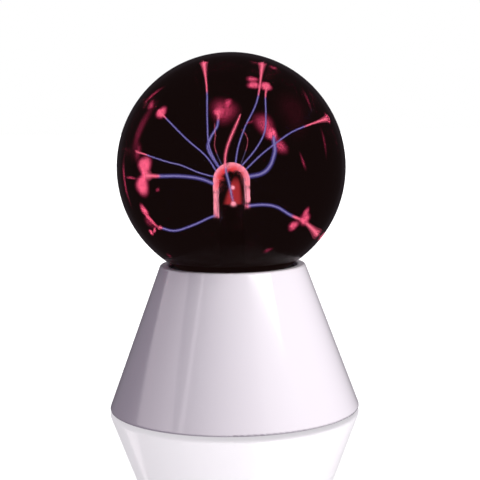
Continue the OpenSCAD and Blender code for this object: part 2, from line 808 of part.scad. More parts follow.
module switch_frame() {
    ear_w = ear_span + 5;
    color("#b4b8be") on_slope() translate([switch_x, 0, panel_back - touch]) difference() {
        union() {
            translate([-ear_w / 2, -frame_l / 2, -frame_t]) cube([ear_w, frame_l, frame_t]);
            translate([-frame_w / 2, -frame_l / 2, -frame_h]) cube([frame_w, frame_l, frame_h]);
        }
        translate([-frame_w / 2 + frame_t, -frame_l / 2 + frame_t, -frame_h - eps])
            cube([frame_w - 2 * frame_t, frame_l - 2 * frame_t, frame_h - frame_t + eps]);
        translate([-knob_w / 2 - switch_step - slide_fit, -knob_l / 2 - slide_fit, -frame_t - eps])
            cube([knob_w + 2 * switch_step + 2 * slide_fit, knob_l + 2 * slide_fit, frame_t + 2 * eps]);
        for (side = [-1, 1]) translate([side * ear_span / 2, 0, -frame_t - eps])
            cylinder(r = m2[0] + thread_fit, h = frame_t + 2 * eps, $fn = 32);
    }
}

module switch_wafer() {
    color("#7a4a24") on_slope() translate([switch_x, 0, panel_back - touch - frame_h]) translate([
            -frame_w / 2 + frame_t + 0.1, -frame_l / 2 + frame_t + 0.1, 0])
        cube([frame_w - 2 * frame_t - 0.2, frame_l - 2 * frame_t - 0.2, wafer_t]);
}

module switch_terminals() {
    color("#d0c8a8") on_slope() for (i = [-1:1])
        translate([switch_x + i * 3.6 - 0.7, -0.2, panel_back - touch - frame_h - terminal_len - touch])
            cube([1.4, 0.4, terminal_len]);
}

// At rest the knob is at the end of its travel that switches the ball on
module switch_knob() {
    rotor_w = knob_w + 2;
    color("#1a1a1c") on_slope() translate([switch_x - switch_step, 0, panel_back - touch - frame_t - slide_fit]) {
        translate([-knob_w / 2, -knob_l / 2, -0.1])
            cube([knob_w, knob_l, frame_t + slide_fit + shell_wall + knob_out - 0.9]);
        for (i = [0:3]) translate([-knob_w / 2 + i * (knob_w - 0.55) / 3, -knob_l / 2,
                frame_t + slide_fit + shell_wall + knob_out - 1.1])
            cube([0.55, knob_l, 0.9]);
        translate([-rotor_w / 2, -frame_l / 2 + frame_t + slide_fit, -rotor_h])
            cube([rotor_w, frame_l - 2 * frame_t - 2 * slide_fit, rotor_h]);
    }
}

module switch_screws() {
    color("#c2c4c8") on_slope() for (side = [-1, 1])
        translate([switch_x + side * ear_span / 2, 0, panel_face + touch]) screw(m2, shell_wall + frame_t + 1.2);
}

module inlet_body() {
    barrel_h = shell_wall + inlet_out;
    color("#18181a") on_slope() translate([inlet_x, 0, panel_back]) difference() {
        union() {
            translate([0, 0, -inlet_body_h - touch]) cylinder(r = inlet_body_r, h = inlet_body_h, $fn = 64);
            translate([0, 0, -1]) cylinder(r = inlet_barrel_d / 2, h = barrel_h + 1, $fn = 64);
        }
        translate([0, 0, barrel_h - inlet_depth])
            cylinder(r = inlet_bore_d / 2, h = inlet_depth + eps, $fn = 64);
    }
}

module inlet_pin() {
    pin_base = panel_back + shell_wall + inlet_out - inlet_depth + touch;
    color("#d4d6da") on_slope() translate([inlet_x, 0, pin_base]) {
        cylinder(r = inlet_pin_d / 2, h = inlet_depth - 1.8, $fn = 32);
        translate([0, 0, inlet_depth - 1.8]) cylinder(r1 = inlet_pin_d / 2, r2 = inlet_pin_d / 4, h = 0.5, $fn = 32);
    }
}

module inlet_nut() {
    color("#b9bdc3") on_slope() translate([inlet_x, 0, panel_face + touch]) difference() {
        cylinder(r = inlet_nut_af / 2 / cos(30), h = inlet_nut_t, $fn = 6);
        translate([0, 0, -eps]) cylinder(r = inlet_barrel_d / 2 + thread_fit, h = inlet_nut_t + 2 * eps, $fn = 64);
    }
}

module inlet_terminals() {
    color("#d0c8a8") on_slope() for (side = [-1, 1])
        translate([inlet_x + side * 2.5 - 0.9, -0.25, panel_back - inlet_body_h - terminal_len - 2 * touch])
            cube([1.8, 0.5, terminal_len]);
}

// ---- Leads ----

// A point of the pocket's frame, in the part's own frame
function slope_point(x, y, z) = [
    -x,
    outer_r(pocket_z) + z * cos(slope_angle) - y * sin(slope_angle),
    pocket_z + z * sin(slope_angle) + y * cos(slope_angle)
];

// A lead from a point behind the pocket, up over the board and down into a socket of the header
module pocket_lead(start, socket, rise) {
    end = header_socket(socket);
    back = slope_point(0, 0, -1) - slope_point(0, 0, 0);
    lead([
        start, start + back, start + 3 * back, (start + 6 * back) * 0.6 + end * 0.4 + [0, 0, rise],
        end + [0, 2, rise - 1], end + [0, 0, 3], end - [0, 0, 2.5]
    ], lead_r);
}

module high_voltage_lead() {
    color("#b8332e") lead(hv_route, hv_lead_r, 6, 12);
}

inlet_back = panel_back - inlet_body_h - terminal_len - 3 * touch;
switch_back = panel_back - frame_h - terminal_len - 3 * touch;
microphone_back = panel_back - microphone_h - 3 * touch;

module inlet_lead_red() {
    color("#c0302a") pocket_lead(slope_point(inlet_x + 2.5, 0, inlet_back - 0.1), 0, 6);
}

module inlet_lead_black() {
    color("#1c1c1e") pocket_lead(slope_point(inlet_x - 2.5, 0, inlet_back - 0.1), 1, 7);
}

module switch_leads() {
    color("#3a62b0") for (i = [-1:1])
        pocket_lead(slope_point(switch_x - i * 3.6, 0, switch_back - 0.1), 5 + i, 8 + 0.4 * i);
}

module microphone_leads() {
    color("#d9d4c4") for (i = [0:1])
        pocket_lead(slope_point(microphone_x + 1.2 - 2.4 * i, 0, microphone_back - 0.1), 2 + i, 10);
}

globe_glass();
electrode_stem();
exhaust_tip();
electrode_liner();
steel_wool_wad();
electrode_plug();
globe_seat_ring();
neck_clamp_left();
neck_clamp_right();
neck_washer();
clamp_screws();
base_shell();
base_plate();
base_plate_screws();
rubber_feet();
circuit_board();
board_screws();
core_lower_half();
core_upper_half();
core_clip();
transformer_bobbin();
primary_winding();
secondary_winding();
transformer_pins();
heat_sink();
power_transistor();
transistor_screw();
smoothing_capacitor();
small_capacitors();
film_capacitor();
ceramic_capacitors();
resistors();
rectifier_diodes();
timer_chip();
lead_header();
microphone_capsule();
switch_frame();
switch_wafer();
switch_terminals();
switch_knob();
switch_screws();
inlet_body();
inlet_pin();
inlet_nut();
inlet_terminals();
high_voltage_lead();
inlet_lead_red();
inlet_lead_black();
switch_leads();
microphone_leads();
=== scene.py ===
"""Looks of a desk plasma ball: globe, electrode, glossy base, driver parts and the glowing gas."""

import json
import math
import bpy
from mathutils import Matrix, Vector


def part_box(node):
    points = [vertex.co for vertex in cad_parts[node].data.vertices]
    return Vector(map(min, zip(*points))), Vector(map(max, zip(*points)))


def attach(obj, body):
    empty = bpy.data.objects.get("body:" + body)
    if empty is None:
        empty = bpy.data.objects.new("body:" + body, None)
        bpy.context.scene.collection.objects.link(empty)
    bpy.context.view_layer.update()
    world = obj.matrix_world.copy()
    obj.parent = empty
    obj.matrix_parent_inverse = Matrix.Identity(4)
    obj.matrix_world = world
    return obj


bl_info = {
    "name": "Plasma Ball",
    "version": (1, 0, 0),
    "blender": (4, 5, 0),
    "location": "View3D > Sidebar > Plasma Ball",
    "description": "Finishes of a plasma ball and the glowing discharge inside its globe",
    "category": "Object",
}

from collections import namedtuple

import bmesh
import bpy
from mathutils import Matrix, Vector, noise

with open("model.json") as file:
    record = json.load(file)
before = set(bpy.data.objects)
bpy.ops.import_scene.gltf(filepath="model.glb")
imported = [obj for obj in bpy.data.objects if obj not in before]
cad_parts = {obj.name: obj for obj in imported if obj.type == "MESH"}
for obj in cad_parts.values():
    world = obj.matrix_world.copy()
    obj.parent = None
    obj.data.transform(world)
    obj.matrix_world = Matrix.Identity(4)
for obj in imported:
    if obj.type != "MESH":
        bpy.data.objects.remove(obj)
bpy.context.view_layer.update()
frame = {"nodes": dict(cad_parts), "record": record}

BALL = "ball"
UP = Vector((0, 0, 1))
MM = 0.001


# ---------------------------------------------------------------- what the frame says

def widest_above(node, height):
    """Largest distance from the ball's axis among a node's points above a height."""
    points = (v.co for v in frame["nodes"][node].data.vertices)
    return max(math.hypot(p.x, p.y) for p in points if p.z > height)


GLOBE_LOW, GLOBE_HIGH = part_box("globe_glass")
GLOBE_R = (GLOBE_HIGH.x - GLOBE_LOW.x) / 2
CENTRE = Vector((0, 0, GLOBE_HIGH.z - GLOBE_R))
STEM_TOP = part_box("electrode_stem")[1].z
STEM_R = widest_above("electrode_stem", STEM_TOP - 20 * MM)
DOME = Vector((0, 0, STEM_TOP - STEM_R))
FOOT_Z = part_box("rubber_feet")[0].z

GLOBE_NODES = (
    "globe_glass", "electrode_stem", "exhaust_tip", "electrode_liner", "steel_wool_wad",
    "electrode_plug", "globe_seat_ring", "neck_clamp_left", "neck_clamp_right", "neck_washer",
    "clamp_screws",
)
BASE_NODES = (
    "base_shell", "base_plate", "base_plate_screws", "rubber_feet", "microphone_capsule",
    "switch_frame", "switch_wafer", "switch_terminals", "switch_knob", "switch_screws",
    "inlet_body", "inlet_pin", "inlet_nut", "inlet_terminals",
)


# ---------------------------------------------------------------- node trees

class Wire:
    """One output socket. Arithmetic on a wire adds Math nodes to its tree."""

    def __init__(self, tree, socket):
        self.tree = tree
        self.socket = socket

    def maths(self, operation, other=0.0, clamp=False):
        settings = {"operation": operation, "use_clamp": clamp}
        return add_node(self.tree, "ShaderNodeMath", settings, {0: self, 1: other})

    def __add__(self, other):
        return self.maths("ADD", other)

    def __sub__(self, other):
        return self.maths("SUBTRACT", other)

    def __mul__(self, other):
        return self.maths("MULTIPLY", other)

    def clamped(self):
        return self.maths("ADD", clamp=True)

    def between(self, low, high):
        """0 below low, 1 above high, and smooth between."""
        settings = {"interpolation_type": "SMOOTHSTEP"}
        inputs = {"Value": self, "From Min": low, "From Max": high}
        return add_node(self.tree, "ShaderNodeMapRange", settings, inputs)


def add_node(tree, kind, settings=None, inputs=None, output=0):
    """Adds a node with its settings and the values or wires of its inputs. Gives one output's wire."""
    node = tree.nodes.new(kind)
    for name, value in (settings or {}).items():
        setattr(node, name, value)
    for name, value in (inputs or {}).items():
        if isinstance(value, Wire):
            tree.links.new(value.socket, node.inputs[name])
        else:
            node.inputs[name].default_value = value
    return Wire(tree, node.outputs[output]) if len(node.outputs) else node


def opaque(colour):
    return (*colour[:3], 1.0)


class Finish:
    """A material with one Principled shader, whose sockets are filled by name."""

    def __init__(self, name):
        self.material = bpy.data.materials.new(name)
        self.material.use_nodes = True
        self.tree = self.material.node_tree
        self.tree.nodes.clear()

    def node(self, kind, settings=None, inputs=None, output=0):
        return add_node(self.tree, kind, settings, inputs, output)

    def place(self, stretch=(1, 1, 1)):
        """Object coordinates, in metres, stretched along each axis."""
        coordinates = self.node("ShaderNodeTexCoord", output="Object")
        return self.node("ShaderNodeMapping", inputs={"Vector": coordinates, "Scale": stretch})

    def noise(self, grain, detail=3.0, stretch=(1, 1, 1), roughness=0.55):
        """Noise from 0 to 1 whose features are about grain metres across."""
        inputs = {
            "Vector": self.place(stretch), "Scale": 1 / grain, "Detail": detail, "Roughness": roughness,
        }
        return self.node("ShaderNodeTexNoise", {"noise_dimensions": "3D"}, inputs, output="Fac")

    def attribute(self, name):
        return self.node("ShaderNodeAttribute", {"attribute_name": name}, output="Fac")

    def mixed(self, factor, low, high):
        """A colour between two colours."""
        settings = {"data_type": "RGBA"}
        inputs = {0: factor}
        for index, colour in ((6, low), (7, high)):
            inputs[index] = colour if isinstance(colour, Wire) else opaque(colour)
        return self.node("ShaderNodeMix", settings, inputs, output=2)

    def bump(self, height, depth):
        inputs = {"Height": height, "Distance": depth, "Strength": 1.0}
        return self.node("ShaderNodeBump", inputs=inputs)

    def principled(self, **sockets):
        inputs = {name.replace("_", " "): value for name, value in sockets.items()}
        for name in ("Base Color", "Emission Color"):
            if name in inputs and not isinstance(inputs[name], Wire):
                inputs[name] = opaque(inputs[name])
        surface = self.node("ShaderNodeBsdfPrincipled", inputs=inputs)
        self.node("ShaderNodeOutputMaterial", inputs={"Surface": surface})
        return self.material


# ---------------------------------------------------------------- finishes of the solid pieces

def moulded(name, colour, roughness, coat):
    """Moulded plastic: fine texture in the surface, cloudy gloss and a little colour drift."""
    finish = Finish(name)
    cloud = finish.noise(14 * MM, 2.0)
    texture = finish.noise(0.35 * MM, 2.0)
    darker = [c * 0.9 for c in colour]
    return finish.principled(
        Base_Color=finish.mixed(cloud, darker, colour),
        Roughness=(cloud - 0.5) * 0.12 + roughness,
        Normal=finish.bump(texture, 0.012 * MM),
        Coat_Weight=coat,
        Coat_Roughness=0.05,
    )


def rubbery(name, colour):
    """Rubber or foam: dusty, matt and pitted."""
    finish = Finish(name)
    dust = finish.noise(5 * MM, 4.0).between(0.45, 0.75)
    pits = finish.noise(0.5 * MM, 3.0, roughness=0.7)
    dusty = [c + 0.03 for c in colour]
    return finish.principled(
        Base_Color=finish.mixed(dust, colour, dusty),
        Roughness=dust * 0.12 + 0.75,
        Normal=finish.bump(pits, 0.05 * MM),
    )


def metal(name, colour, roughness, stretch=(1, 1, 1)):
    """Plated or plain metal with fine directional marks and a few duller patches."""
    finish = Finish(name)
    marks = finish.noise(0.3 * MM, 2.0, stretch)
    patch = finish.noise(6 * MM, 3.0).between(0.35, 0.8)
    duller = [c * 0.72 for c in colour]
    return finish.principled(
        Base_Color=finish.mixed(patch, colour, duller),
        Metallic=1.0,
        Roughness=marks * 0.18 + patch * 0.12 + (roughness - 0.1),
        Normal=finish.bump(marks, 0.006 * MM),
    )


def wound(name, colour, pitch):
    """Fine wire or tape wound round an upright spool, with painted shade in the grooves between the
    turns.
    """
    finish = Finish(name)
    height = finish.node("ShaderNodeSeparateXYZ", inputs={0: finish.place()}, output="Z")
    turns = (height * (2 * math.pi / pitch)).maths("SINE") * 0.5 + 0.5
    drift = finish.noise(4 * MM, 2.0)
    groove_shade_and_drift = (turns * 0.7 + drift * 0.3).clamped()
    return finish.principled(
        # Base colour falls to a third in the grooves between the turns: painted shade, mixed with tone
        # that drifts at random.
        Base_Color=finish.mixed(groove_shade_and_drift, [c * 0.35 for c in colour], colour),
        Roughness=drift * 0.15 + 0.25,
        Normal=finish.bump(turns, pitch * 0.2),
        Coat_Weight=0.4,
        Coat_Roughness=0.12,
    )


def board(name, colour):
    """Printed board: solder mask over darker and lighter copper areas."""
    finish = Finish(name)
    cells = finish.node(
        "ShaderNodeTexVoronoi", {"feature": "DISTANCE_TO_EDGE", "distance": "MANHATTAN"},
        {"Vector": finish.place(), "Scale": 1 / (5 * MM)}, output="Distance",
    )
    tracks = cells.between(0.06, 0.1)
    fibre = finish.noise(0.6 * MM, 2.0, (1, 6, 1))
    copper = [c * 1.7 + 0.02 for c in colour]
    return finish.principled(
        Base_Color=finish.mixed(tracks, copper, colour),
        Roughness=fibre * 0.15 + 0.22,
        Normal=finish.bump(tracks * -0.6 + fibre * 0.1, 0.04 * MM),
        Coat_Weight=0.5,
        Coat_Roughness=0.1,
    )


def woolly(name, colour):
    """Packed steel wool: crossed fine strands, with painted shade in the gaps between them."""
    finish = Finish(name)
    level_strands = finish.noise(0.25 * MM, 3.0, (1, 1, 5))
    upright_strands = finish.noise(0.25 * MM, 3.0, (5, 1, 1))
    strands = level_strands.maths("MAXIMUM", upright_strands)
    return finish.principled(
        # Base colour falls to a fifth where the strands' noise is low: painted shade in the gaps between
        # the strands.
        Base_Color=finish.mixed(strands.between(0.4, 0.65), [c * 0.2 for c in colour], colour),
        Metallic=0.8,
        Roughness=strands * 0.3 + 0.3,
        Normal=finish.bump(strands, 0.2 * MM),
    )


def globe_glass(name, settings):
    """Blown glass, tinted so that the discharge stands out, with a few faint handling marks and a faint
    painted pink glow.
    """
    finish = Finish(name)
    marks = finish.noise(20 * MM, 5.0, roughness=0.6).between(0.58, 0.8)
    tint = list(settings.glass_tint)
    return finish.principled(
        Base_Color=finish.mixed(marks, tint, [c * 1.06 for c in tint]),
        Roughness=0.0,
        Transmission_Weight=1.0,
        IOR=settings.glass_ior,
        # Faint pink emission over the whole globe: a painted glow of the discharge's haze, since the
        # glass itself is no lamp.
        Emission_Color=(1.0, 0.42, 0.38),
        Emission_Strength=0.004,
    )


def clear_glass(name, colour):
    """Drawn clear glass tube."""
    finish = Finish(name)
    lines = finish.noise(1.2 * MM, 2.0, (1, 1, 0.05))
    return finish.principled(
        Base_Color=finish.mixed(lines, [c * 0.97 for c in colour], colour),
        Roughness=lines * 0.02,
        Transmission_Weight=1.0,
        IOR=1.2,
    )


def gloss_shell(name, settings):
    """Polished white moulding: deep gloss with a trace of ripple, fine dust and faint wipe marks."""
    finish = Finish(name)
    colour = list(settings.shell_colour)
    dust = finish.noise(0.9 * MM, 2.0).between(0.72, 0.8)
    wiped = finish.noise(3 * MM, 4.0, (1, 1, 0.12), 0.6).between(0.5, 0.8)
    ripple = finish.noise(5 * MM, 1.0)
    drift = finish.noise(45 * MM, 2.0)
    clean = finish.mixed(drift, [c * 0.97 for c in colour], colour)
    return finish.principled(
        Base_Color=finish.mixed(dust * 0.12, clean, (0.45, 0.43, 0.44)),
        Roughness=wiped * 0.05 + dust * 0.2 + 0.12,
        Normal=finish.bump(ripple, 0.01 * MM),
        IOR=1.5,
        Coat_Weight=0.35,
        Coat_Roughness=0.08,
    )


def slot_finishes():
    """One material for each of the record's slots."""
    colours = {m["slot"]: m["base_color"][:3] for m in frame["record"]["materials"]}
    settings = bpy.context.scene.plasma_finish
    made = {
        "globe_glass": globe_glass("globe_glass", settings),
        "stem_glass": clear_glass("stem_glass", colours["stem_glass"]),
        "gloss_shell": gloss_shell("gloss_shell", settings),
        "steel_wool": woolly("steel_wool", colours["steel_wool"]),
        "board_laminate": board("board_laminate", colours["board_laminate"]),
        "copper_wire": wound("copper_wire", colours["copper_wire"], 0.5 * MM),
        "taped_winding": wound("taped_winding", colours["taped_winding"], 1.1 * MM),
        "sink_aluminium": metal("sink_aluminium", colours["sink_aluminium"], 0.42, (1, 1, 0.06)),
        "clip_steel": metal("clip_steel", colours["clip_steel"], 0.3, (0.08, 1, 1)),
    }
    plated = (
        "screw_steel", "switch_steel", "terminal_brass", "pin_metal", "nut_metal", "tinned_wire",
        "capsule_metal",
    )
    for slot in plated:
        made[slot] = metal(slot, colours[slot], 0.26)
    for slot in ("silicone", "seat_foam", "washer_rubber", "foot_rubber"):
        made[slot] = rubbery(slot, colours[slot])
    glossy = {
        "can_sleeve": 0.3, "can_sleeve_black": 0.3, "film_red": 0.28, "diode_black": 0.35,
        "inlet_plastic": 0.25, "lead_red": 0.35, "lead_black": 0.35, "lead_blue": 0.35,
        "lead_cream": 0.35,
    }
    for slot, colour in colours.items():
        if slot not in made:
            coat = 0.3 if slot in glossy else 0.0
            made[slot] = moulded(slot, colour, glossy.get(slot, 0.5), coat)
    return made


def dress(nodes):
    """Gives CAD nodes the finishes of their slots."""
    finishes = bpy.context.scene["plasma_finishes"]
    slots = {s["node"]: s["material_slot"] for s in frame["record"]["subparts"]}
    for node in nodes:
        mesh = frame["nodes"][node].data
        mesh.materials.clear()
        mesh.materials.append(bpy.data.materials[finishes[slots[node]]])


# ---------------------------------------------------------------- shapes of the discharge

def direction(bearing, elevation):
    """Unit vector. Bearing 0 is to the right, 90 to the rear, 180 to the left and 270 to the front."""
    b, e = math.radians(bearing), math.radians(elevation)
    return Vector((math.cos(e) * math.cos(b), math.cos(e) * math.sin(b), math.sin(e)))


def on_electrode(bearing, height, lift=0.0):
    """Point over the electrode's glass. The height is in mm over the centre of its dome."""
    rise = max(0.0, min(height * MM / STEM_R, 1.0))
    centre = DOME + UP * min(height, 0.0) * MM
    return centre + direction(bearing, math.degrees(math.asin(rise))) * (STEM_R + lift)


def fading(x, y=0.0):
    """1 where both are zero, and falling off smoothly on every side."""
    return math.exp(-(x ** 2) - y ** 2)


def smooth(low, high, x):
    """0 at low, 1 at high, smooth between and level beyond; low may be the larger."""
    t = max(0.0, min((x - low) / (high - low), 1.0))
    return t * t * (3 - 2 * t)


POINT_STEP = 0.7  # mm between the points along a filament
THREAD_R = 0.28  # radius in mm of a filament whose stoutness is 1

# Filaments of gas from the electrode to the glass.
# root: bearing, and height in mm over the centre of the electrode's dome
# bends: points that it passes, in mm from the centre of the globe (right, back, up)
# tip: bearing and elevation where it meets the glass
# stout: how thick it is; blush: length in mm of its pink end; bell: radius in mm of that end;
# close: length in mm over which the end closes; level: how bright it is
Filament = namedtuple("Filament", "name root bends tip stout blush bell close level")
FILAMENTS = (
    Filament("crown_left", (186, 6), ((-12, 4, 11), (-13, 5, 26), (-13, 6, 43)),
             (157, 75), 1.0, 17, 1.2, 0.3, 1.0),
    Filament("far_left", (170, 6), ((-13, 16, 9), (-12, 26, 15), (-8, 42, 22)),
             (98, 30), 1.5, 8, 1.4, 2.5, 1.0),
    Filament("upper_left", (176, 4), ((-14, 5, 6), (-26, 17, 16)),
             (143, 31), 1.0, 7, 1.3, 2.5, 1.0),
    Filament("left", (174, 2), ((-18, 3, -3), (-28, 7, 1), (-37, 13, 3)),
             (156, 8), 1.0, 8, 0.5, 1.0, 0.7),
    Filament("near_left", (188, -2), ((-17, -3, -6), (-28, -8, -4), (-39, -20, -3)),
             (224, -1), 1.9, 22, 1.4, 1.5, 1.0),
    Filament("low_left", (184, -19), ((-13, -2, -28), (-21, -8, -31), (-31, -18, -33)),
             (225, -28), 1.3, 3, 0.8, 1.0, 1.0),
    Filament("low_right", (356, -14), ((18, -2, -21), (25, -6, -22), (32, -10, -26), (40, -12, -30)),
             (352, -38), 1.7, 19, 1.6, 0.5, 1.0),
    Filament("far_right", (5, 2), ((17, 4, -4), (22, 12, 0), (25, 26, 7), (25, 40, 12)),
             (65, 15), 2.3, 5, 1.5, 2.5, 1.0),
    Filament("right", (4, 5), ((16, 1, 6), (25, 1, 13), (36, 1, 20)),
             (0, 26), 1.0, 14, 1.3, 0.3, 1.0),
    Filament("upper_right", (10, 7), ((14, 5, 10), (19, 12, 19), (20, 20, 29), (20, 26, 38)),
             (58, 49), 1.0, 11, 1.2, 2.0, 1.0),
    Filament("crown_right", (40, 8), ((4, 3, 11), (8, 5, 22), (15, 5, 37)),
             (15, 72), 1.0, 18, 1.2, 0.3, 1.0),
    Filament("front", (276, -11.7), ((-1, -13, -9), (-3, -18, 1), (-2, -28, 12)),
             (276, 30), 1.7, 46, 0.7, 26, 0.5),
    Filament("faint_left", (160, 7), ((-9, 12, 10), (-9, 24, 17)),
             (100, 22), 0.8, 50, 0.4, 20, 0.13),
    Filament("faint_right", (20, 7), ((9, 12, 11), (9, 24, 16)),
             (84, 18), 0.8, 50, 0.4, 20, 0.11),
)

# Glow, and painted reflections of the filaments, that spread over the glass: bearing and elevation of its
# middle, half length and half width in mm, lean of its length from upright in degrees (to the right as
# seen from outside), and level
Pool = namedtuple("Pool", "bearing elevation long wide lean level")
# The long, thin, faint pools up the globe's left and right edges are painted reflections of the filaments
# in the glass.
POOLS = (
    Pool(157, 75, 2.8, 1.6, 80, 0.9), Pool(35, 34, 20.0, 13.0, -30, 0.01),
    Pool(95, 33, 9.5, 8.5, 30, 0.22), Pool(92, 36, 3.6, 2.4, -20, 0.35),
    Pool(98, 30, 3.2, 3.2, 0, 1.0), Pool(143, 31, 4.0, 4.0, 40, 0.9),
    Pool(160, 36, 5.0, 2.8, 50, 0.25), Pool(157, 8, 6.0, 3.6, 0, 0.12),
    Pool(161, 22, 18.0, 4.0, -12, 0.08), Pool(172, 43, 9.0, 2.0, -45, 0.15),
    Pool(218, 4, 4.8, 5.4, -20, 1.0), Pool(215, -7, 5.8, 5.2, 30, 1.0),
    Pool(220, 1, 3.6, 2.6, -30, 0.9), Pool(218, -4, 3.8, 2.6, 40, 0.9),
    Pool(207, -3, 8.0, 0.9, 90, 0.25), Pool(214, -20, 4.0, 2.4, -35, 0.8),
    Pool(218, -25, 6.4, 1.3, -41, 0.9), Pool(217, -31, 3.0, 0.9, 45, 0.7),
    Pool(211, -33, 1.9, 1.6, 0, 0.9), Pool(213, -27, 4.4, 3.0, -30, 0.12),
    Pool(317, -26, 4.0, 3.6, -50, 0.7), Pool(315, -22, 3.4, 2.2, 10, 0.6),
    Pool(309, -29, 3.6, 3.0, 50, 0.6), Pool(352, -38, 2.6, 1.6, 60, 0.8),
    Pool(65, 16, 4.0, 3.8, 0, 1.0), Pool(68, 22, 9.0, 6.0, 24, 0.3), Pool(60, 9, 6.0, 4.4, 40, 0.3),
    Pool(0, 26, 3.0, 1.2, 0, 0.9), Pool(350, 27, 4.0, 1.6, -50, 0.25),
    Pool(58, 49, 3.6, 3.6, 0, 0.95), Pool(69, 50, 4.4, 3.2, 86, 0.7),
    Pool(68, 55, 4.0, 2.6, 80, 0.45), Pool(15, 72, 3.4, 1.4, 80, 0.9),
    Pool(350, 66, 6.5, 2.2, 70, 0.2), Pool(181, -6, 14.0, 1.6, 0, 0.2),
    Pool(24, 12, 9.0, 1.0, 0, 0.08), Pool(309, 5, 5.0, 0.9, -20, 0.15),
    Pool(22, 38, 9.0, 1.0, -30, 0.1), Pool(230, -8, 1.8, 1.2, 60, 0.15),
    Pool(200, -52, 2.6, 1.6, 40, 0.08), Pool(296, -44, 3.0, 1.6, 60, 0.1),
    Pool(281, 26, 3.0, 0.7, 70, 0.12),
)


def filament_route(f, glass_r):
    """Points of a filament from the electrode to the glass, and the length in mm still to go at each."""
    ends = on_electrode(*f.root), CENTRE + direction(*f.tip) * glass_r
    stops = [ends[0], *(CENTRE + Vector(b) * MM for b in f.bends), ends[1]]
    stops = [stops[0] * 2 - stops[1], *stops, stops[-1] * 2 - stops[-2]]
    points = []
    for a, b, c, d in zip(stops, stops[1:], stops[2:], stops[3:]):
        count = max(2, round((c - b).length / (POINT_STEP * MM)))
        for t in (i / count for i in range(count)):
            bend = (2 * a - 5 * b + 4 * c - d) * t * t + (3 * b - 3 * c + d - a) * t * t * t
            points.append((2 * b + (c - a) * t + bend) / 2)
    points.append(ends[1])
    left = [0.0]
    for p, q in zip(reversed(points), reversed(points[:-1])):
        left.append(left[-1] + (p - q).length / MM)
    return list(zip(points, reversed(left)))


def filament_profile(f, left, whole):
    """Radius in mm, and how pink and how solid (0 to 1) a filament is with some of its length left."""
    grown = max(0.0, 1 - left / f.blush)
    root = smooth(1.6, 0.0, whole - left)
    thin = THREAD_R * f.stout
    radius = thin + 0.3 * root + (f.bell - thin) * grown ** 3
    if left < f.close:
        radius *= max(0.12, math.sqrt(1 - (1 - left / f.close) ** 2))
    pink = max(smooth(f.blush + 2, f.blush - 1, left), root)
    return radius, pink, f.level


def line_mesh(name, routes):
    """Unconnected runs of edges. Each route is a list of (point, radius, pink, clear)."""
    points, edges, values = [], [], []
    for route in routes:
        first = len(points)
        points += [p for p, *_ in route]
        values += [v for _, *v in route]
        edges += [(first + i, first + i + 1) for i in range(len(route) - 1)]
    mesh = bpy.data.meshes.new(name)
    mesh.from_pydata(points, edges, [])
    for index, attribute in enumerate(("thickness", "pink", "clear")):
        layer = mesh.attributes.new(attribute, "FLOAT", "POINT")
        layer.data.foreach_set("value", [v[index] for v in values])
    return mesh


def tube_tree():
    """Geometry nodes that turn runs of edges into round tubes as thick as their points say."""
    tree = bpy.data.node_groups.new("tubes_along_lines", "GeometryNodeTree")
    tree.interface.new_socket("Geometry", in_out="INPUT", socket_type="NodeSocketGeometry")
    sides = tree.interface.new_socket("Sides", in_out="INPUT", socket_type="NodeSocketInt")
    spread = tree.interface.new_socket("Spread", in_out="INPUT", socket_type="NodeSocketFloat")
    material = tree.interface.new_socket("Material", in_out="INPUT", socket_type="NodeSocketMaterial")
    tree.interface.new_socket("Geometry", in_out="OUTPUT", socket_type="NodeSocketGeometry")
    group = tree.nodes.new("NodeGroupInput")
    given = {s.name: Wire(tree, s) for s in group.outputs if s.name}
    attribute = {"data_type": "FLOAT"}
    thickness = add_node(tree, "GeometryNodeInputNamedAttribute", attribute, {"Name": "thickness"})
    curve = add_node(tree, "GeometryNodeMeshToCurve", inputs={"Mesh": given["Geometry"]})
    round_profile = {"Resolution": given["Sides"], "Radius": 1.0}
    circle = add_node(tree, "GeometryNodeCurvePrimitiveCircle", inputs=round_profile)
    scale = thickness * given["Spread"]
    sweep = {"Curve": curve, "Profile Curve": circle, "Scale": scale, "Fill Caps": True}
    tube = add_node(tree, "GeometryNodeCurveToMesh", inputs=sweep)
    tube = add_node(tree, "GeometryNodeSetShadeSmooth", inputs={"Geometry": tube})
    tube = add_node(tree, "GeometryNodeRealizeInstances", inputs={"Geometry": tube})
    dressed = {"Geometry": tube, "Material": given["Material"]}
    tube = add_node(tree, "GeometryNodeSetMaterial", inputs=dressed)
    add_node(tree, "NodeGroupOutput", inputs={0: tube})
    return tree, {"Sides": sides.identifier, "Spread": spread.identifier, "Material": material.identifier}


def sweep_tubes(name, mesh, material, sides, spread):
    """A finished piece: tubes along the edges of a mesh."""
    tree, identifiers = tube_tree()
    source = bpy.data.objects.new(name + "_lines", mesh)
    bpy.context.scene.collection.objects.link(source)
    modifier = source.modifiers.new("tubes", "NODES")
    modifier.node_group = tree
    modifier[identifiers["Sides"]] = sides
    modifier[identifiers["Spread"]] = spread
    modifier[identifiers["Material"]] = material
    evaluated = source.evaluated_get(bpy.context.evaluated_depsgraph_get())
    result = bpy.data.meshes.new_from_object(evaluated)
    source.modifiers.clear()
    bpy.data.objects.remove(source)
    bpy.data.node_groups.remove(tree)
    return finished_piece(name, result)


def finished_piece(name, mesh):
    """Puts a mesh into the scene as a piece that moves with the ball, with its faces outwards."""
    edit = bmesh.new()
    edit.from_mesh(mesh)
    bmesh.ops.remove_doubles(edit, verts=edit.verts, dist=1e-6)
    bmesh.ops.recalc_face_normals(edit, faces=edit.faces)
    edit.to_mesh(mesh)
    edit.free()
    for polygon in mesh.polygons:
        polygon.use_smooth = True
    piece = bpy.data.objects.new(name, mesh)
    bpy.context.scene.collection.objects.link(piece)
    piece.visible_diffuse = False
    piece.visible_shadow = False
    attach(piece, BALL)
    return piece


